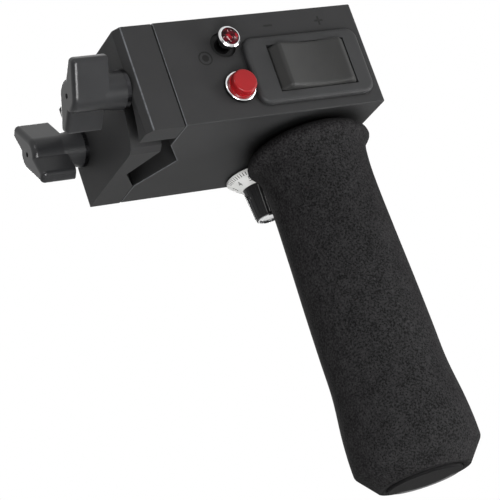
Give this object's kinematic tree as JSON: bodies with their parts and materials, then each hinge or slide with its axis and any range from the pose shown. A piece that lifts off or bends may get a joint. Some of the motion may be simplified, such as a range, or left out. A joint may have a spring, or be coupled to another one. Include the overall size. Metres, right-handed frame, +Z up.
{
  "type": "handgrip lens controller",
  "caption": "Box-shaped zoom and record controller on a foam handgrip, with a vee jaw and wing screws that clamp it to a camera support rod.",
  "frame": {"origin": "middle of the jaw's clamping plane, where the rear land of the fixed jaw meets the rod clamp", "axes": "+X along the control face away from the jaw, +Y from the control face to the rear cover, +Z up, against the grip, and along the clamped rod"},
  "size_m": [0.1133, 0.0677, 0.1668],
  "materials": {
    "housing_black": "black anodised, fine matt grain",
    "knob_black": "moulded black nylon, satin",
    "bright_steel": "bright plated steel",
    "spring_steel": "drawn spring wire",
    "bezel_plastic": "black moulded plastic, matt",
    "rocker_plastic": "black moulded plastic, fine grain",
    "inner_plastic": "black moulded plastic",
    "bright_chrome": "polished chrome",
    "red_plastic": "red moulded plastic, semi-gloss",
    "red_lens": "dark red clear plastic",
    "pot_metal": "plain turned metal",
    "skirt_plastic": "pale grey skirt with black ticks",
    "dial_plastic": "black moulded plastic with a pale line",
    "bright_aluminium": "spun bright disc",
    "grip_metal": "plain turned aluminium",
    "foam": "closed-cell black foam, soft and mottled",
    "end_cap_plastic": "black gloss plastic",
    "screw_black": "blacked steel",
    "standoff_brass": "turned brass",
    "board_green": "green solder mask on glass-fibre laminate"
  },
  "bodies": {
    "root": {"housing": "housing_black", "jaw_inserts": "bright_steel", "rocker_bezel": "bezel_plastic", "rocker_frame": "inner_plastic", "rocker_pin": "bright_steel", "rocker_spring_left": "spring_steel", "rocker_spring_right": "spring_steel", "zoom_sensor": "inner_plastic", "button_ring": "bright_chrome", "button_nut": "bright_steel", "button_spring": "spring_steel", "button_switch": "inner_plastic", "lamp_holder": "bright_chrome", "lamp_lens": "red_lens", "signal_lamp": "red_lens", "lamp_nut": "bright_steel", "speed_pot": "pot_metal", "pot_nut": "bright_steel", "grip_boss": "grip_metal", "boss_pins": "bright_steel", "grip_tube": "grip_metal", "grip_bolt": "bright_steel", "foam_sleeve": "foam", "end_cap": "end_cap_plastic", "rear_cover": "housing_black", "cover_screws": "screw_black", "board_standoffs": "standoff_brass", "circuit_board": "board_green", "board_screws": "bright_steel", "cable_socket": "inner_plastic", "socket_nut": "bright_steel"},
    "rear_clamp": {"rear_washer": "screw_black"},
    "plate": {"clamp_plate": "housing_black"},
    "rear_screw": {"rear_knob": "knob_black", "rear_stud": "bright_steel"},
    "front_clamp": {"front_washer": "screw_black"},
    "front_screw": {"front_knob": "knob_black", "front_stud": "bright_steel"},
    "rocker": {"rocker_cap": "rocker_plastic"},
    "button": {"button_cap": "red_plastic", "button_plunger": "inner_plastic"},
    "dial": {"pot_shaft": "pot_metal", "dial_skirt": "skirt_plastic", "dial_body": "dial_plastic", "grub_screw": "bright_steel", "dial_cap": "bright_aluminium"}
  },
  "joints": [
    {"name": "clamp_travel", "type": "slide", "parent": "root", "child": "rear_clamp", "axis": [-1, 0, 0], "range_m": [0, 0.006]},
    {"name": "rear_knob_turn", "type": "hinge", "parent": "rear_clamp", "child": "rear_screw", "pos_m": [-0.0132, 0.0215, 0], "axis": [-1, 0, 0], "range_deg": [0, 1702]},
    {"name": "front_travel", "type": "slide", "parent": "root", "child": "front_clamp", "axis": [-1, 0, 0], "range_m": [0, 0.006]},
    {"name": "front_knob_turn", "type": "hinge", "parent": "front_clamp", "child": "front_screw", "pos_m": [-0.0132, -0.0215, 0], "axis": [-1, 0, 0], "range_deg": [0, 1702]},
    {"name": "plate_swing", "type": "hinge", "parent": "rear_clamp", "child": "plate", "pos_m": [-0.0063, 0.0215, 0], "axis": [1, 0, 0], "range_deg": [-95, 0]},
    {"name": "zoom_rocker", "type": "hinge", "parent": "root", "child": "rocker", "pos_m": [0.0558, -0.0245, -0.0032], "axis": [0, 0, 1], "range_deg": [-6, 6], "stiffness_Nm_per_rad": 0.05, "deforming": ["rocker_spring_left", "rocker_spring_right"]},
    {"name": "rec_button", "type": "slide", "parent": "root", "child": "button", "axis": [0, 1, 0], "range_m": [0, 0.0012], "stiffness_N_per_m": 600, "springref_m": -0.0008, "deforming": ["button_spring"]},
    {"name": "speed_dial", "type": "hinge", "parent": "root", "child": "dial", "pos_m": [0.0505, 0.0208, -0.03], "axis": [0, 0, -1], "range_deg": [-150, 150]}
  ],
  "couplings": [
    {"joint": "rear_knob_turn", "follows": "clamp_travel", "rad_per_m": 4947.4},
    {"joint": "front_travel", "follows": "clamp_travel", "ratio": 1},
    {"joint": "front_knob_turn", "follows": "clamp_travel", "rad_per_m": 4947.4}
  ]
}
